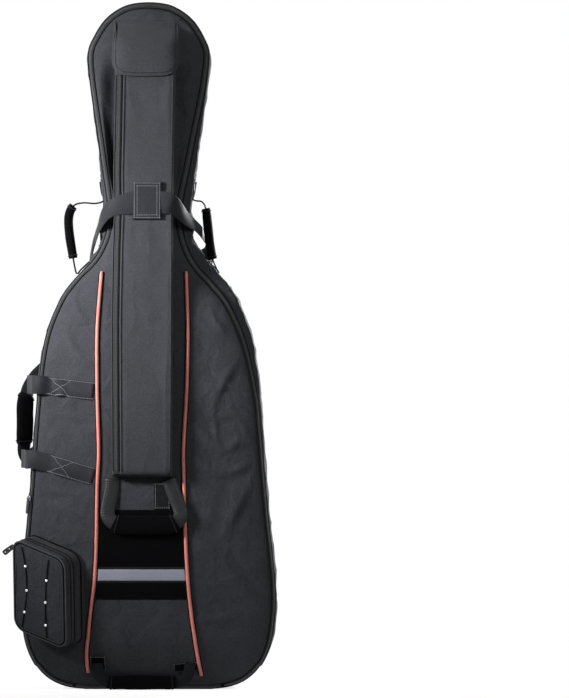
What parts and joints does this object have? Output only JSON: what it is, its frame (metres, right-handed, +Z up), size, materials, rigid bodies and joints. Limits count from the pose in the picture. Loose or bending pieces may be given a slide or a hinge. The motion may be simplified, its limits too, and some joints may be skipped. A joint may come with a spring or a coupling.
{
  "type": "cello gig bag",
  "caption": "Tall padded soft case for a cello: front cover on a long zip, raised bow pocket down the front, zipped side pocket, coral piping, carry handles and backpack straps.",
  "frame": {"origin": "centre of the flat foot that the bag stands on", "axes": "+Z up along the length of the bag, front towards -Y, left of the front view towards -X"},
  "size_m": [0.5128, 0.3297, 1.334],
  "materials": {
    "nylon": "matt charcoal nylon weave",
    "deep_nylon": "matt deep black nylon weave",
    "webbing": "ribbed grey webbing",
    "spacer_mesh": "open spacer mesh",
    "zip_tape": "black coil zip tape",
    "piping": "coral piping cord",
    "reflective_cloth": "satin silver-grey",
    "dark_metal": "black nickel",
    "bright_metal": "polished nickel",
    "moulded_plastic": "black"
  },
  "bodies": {
    "bag_body": {"rear_shell": "nylon", "zip_half_rear": "zip_tape", "foot_hinge_tape": "nylon", "mesh_back_pad": "spacer_mesh", "music_pocket": "nylon", "music_pocket_band": "nylon", "lower_band": "webbing", "strap_yoke": "webbing"},
    "cover": {"front_cover": "nylon", "zip_half_cover": "zip_tape", "bow_pocket": "nylon", "bow_pocket_zip": "zip_tape", "piping_left": "piping", "piping_right": "piping", "lower_front_panel": "deep_nylon", "reflective_stripe": "reflective_cloth", "accessory_pocket": "nylon", "accessory_zip": "zip_tape", "stud_1": "bright_metal", "stud_2": "bright_metal", "stud_3": "bright_metal", "stud_4": "bright_metal", "stud_5": "bright_metal", "stud_6": "bright_metal", "side_handle_front_web_upper": "webbing", "side_handle_front_web_lower": "webbing", "neck_strap": "webbing", "neck_hook_left": "dark_metal", "neck_hook_right": "dark_metal"},
    "zip_slider": {"zip_slider": "dark_metal"},
    "zip_pull": {"zip_pull": "moulded_plastic"},
    "bow_flap": {"bow_pocket_flap": "nylon"},
    "accessory_pull": {"accessory_zip_pull": "moulded_plastic"},
    "neck_handle_left": {"neck_handle_left_strap": "webbing", "neck_handle_left_grip": "deep_nylon"},
    "neck_handle_right": {"neck_handle_right_strap": "webbing", "neck_handle_right_grip": "deep_nylon"},
    "top_handle": {"top_handle_strap": "webbing", "top_handle_grip": "deep_nylon"},
    "side_handle": {"side_handle_strap": "webbing", "side_handle_grip": "deep_nylon"},
    "front_handle": {"front_handle_strap": "webbing", "front_handle_grip": "deep_nylon"},
    "foot_handle": {"foot_handle_strap": "webbing", "foot_handle_grip": "deep_nylon"},
    "shoulder_strap_left": {"shoulder_pad_left": "nylon", "reflector_left": "reflective_cloth", "strap_web_left": "webbing", "low_hook_left": "dark_metal"},
    "shoulder_strap_right": {"shoulder_pad_right": "nylon", "reflector_right": "reflective_cloth", "strap_web_right": "webbing", "low_hook_right": "dark_metal"},
    "strap_adjuster_left": {"strap_adjuster_left": "dark_metal"},
    "strap_adjuster_right": {"strap_adjuster_right": "dark_metal"},
    "neck_adjuster": {"neck_strap_adjuster": "dark_metal"},
    "high_ring_left": {"high_ring_left": "dark_metal"},
    "high_ring_right": {"high_ring_right": "dark_metal"},
    "low_ring_left": {"low_ring_left": "dark_metal"},
    "low_ring_right": {"low_ring_right": "dark_metal"}
  },
  "joints": [
    {"name": "cover_hinge", "type": "hinge", "parent": "bag_body", "child": "cover", "pos_m": [0, -0.0735, 0.00581], "axis": [1, 0, 0], "range_deg": [0, 120], "deforming": ["neck_strap", "neck_hook_left", "neck_hook_right", "foot_hinge_tape"]},
    {"name": "zip_slide", "type": "slide", "parent": "bag_body", "child": "zip_slider", "axis": [0.0756, 0.0107, 0.9971], "range_m": [-0.02, 0.1]},
    {"name": "zip_pull_swing", "type": "hinge", "parent": "zip_slider", "child": "zip_pull", "pos_m": [-0.23367, -0.09961, 0.37262], "axis": [-0.4786, 0.877, 0.0427], "range_deg": [0, 150]},
    {"name": "bow_flap_hinge", "type": "hinge", "parent": "cover", "child": "bow_flap", "pos_m": [0, -0.04971, 1.3005], "axis": [-1, 0, 0], "range_deg": [0, 105]},
    {"name": "accessory_pull_swing", "type": "hinge", "parent": "cover", "child": "accessory_pull", "pos_m": [-0.24493, -0.11973, 0.2763], "axis": [0.6313, 0.7732, 0.0603], "range_deg": [0, 120]},
    {"name": "neck_handle_left_swing", "type": "hinge", "parent": "bag_body", "child": "neck_handle_left", "pos_m": [-0.10044, 0, 0.901], "axis": [0, 0, 1], "range_deg": [-25, 25], "deforming": ["neck_handle_left_strap"]},
    {"name": "neck_handle_right_swing", "type": "hinge", "parent": "bag_body", "child": "neck_handle_right", "pos_m": [0.10044, 0, 0.901], "axis": [0, 0, 1], "range_deg": [-25, 25], "deforming": ["neck_handle_right_strap"]},
    {"name": "top_handle_swing", "type": "hinge", "parent": "bag_body", "child": "top_handle", "pos_m": [0, 0.0623, 1.237], "axis": [1, 0, 0], "range_deg": [-30, 50], "deforming": ["top_handle_strap"]},
    {"name": "side_handle_swing", "type": "hinge", "parent": "bag_body", "child": "side_handle", "pos_m": [-0.1912, 0.11302, 0.56313], "axis": [-0.0622, 0.0498, -0.9968], "range_deg": [0, 75], "deforming": ["side_handle_strap"]},
    {"name": "front_handle_swing", "type": "hinge", "parent": "cover", "child": "front_handle", "pos_m": [0, -0.13884, 0.405], "axis": [-1, 0, 0], "range_deg": [0, 100], "deforming": ["front_handle_strap"]},
    {"name": "foot_handle_swing", "type": "hinge", "parent": "cover", "child": "foot_handle", "pos_m": [0, -0.11127, 0.05], "axis": [-1, 0, 0], "range_deg": [0, 120], "deforming": ["foot_handle_strap"]},
    {"name": "shoulder_strap_left_swing", "type": "hinge", "parent": "bag_body", "child": "shoulder_strap_left", "pos_m": [-0.063, 0.10437, 0.776], "axis": [1, 0, 0], "range_deg": [0, 60], "deforming": ["shoulder_pad_left", "strap_web_left", "low_hook_left"]},
    {"name": "strap_adjuster_left_slide", "type": "slide", "parent": "shoulder_strap_left", "child": "strap_adjuster_left", "axis": [-0.2468, -0.0407, -0.9682], "range_m": [-0.03, 0.03]},
    {"name": "high_ring_left_swing", "type": "hinge", "parent": "shoulder_strap_left", "child": "high_ring_left", "pos_m": [-0.1, 0.12511, 0.71], "axis": [1, 0, 0], "range_deg": [-90, 20]},
    {"name": "low_ring_left_swing", "type": "hinge", "parent": "bag_body", "child": "low_ring_left", "pos_m": [-0.16, 0.11922, 0.131], "axis": [1, 0, 0], "range_deg": [-10, 110]},
    {"name": "shoulder_strap_right_swing", "type": "hinge", "parent": "bag_body", "child": "shoulder_strap_right", "pos_m": [0.025, 0.10411, 0.776], "axis": [1, 0, 0], "range_deg": [0, 60], "deforming": ["shoulder_pad_right", "strap_web_right", "low_hook_right"]},
    {"name": "strap_adjuster_right_slide", "type": "slide", "parent": "shoulder_strap_right", "child": "strap_adjuster_right", "axis": [0.23, -0.0401, -0.9724], "range_m": [-0.03, 0.03]},
    {"name": "high_ring_right_swing", "type": "hinge", "parent": "shoulder_strap_right", "child": "high_ring_right", "pos_m": [0.0865, 0.11963, 0.738], "axis": [1, 0, 0], "range_deg": [-90, 20]},
    {"name": "low_ring_right_swing", "type": "hinge", "parent": "bag_body", "child": "low_ring_right", "pos_m": [0.158, 0.11943, 0.132], "axis": [1, 0, 0], "range_deg": [-10, 110]},
    {"name": "neck_adjuster_slide", "type": "slide", "parent": "cover", "child": "neck_adjuster", "axis": [0.1799, 0, 0.9837], "range_m": [-0.004, 0.015]}
  ]
}
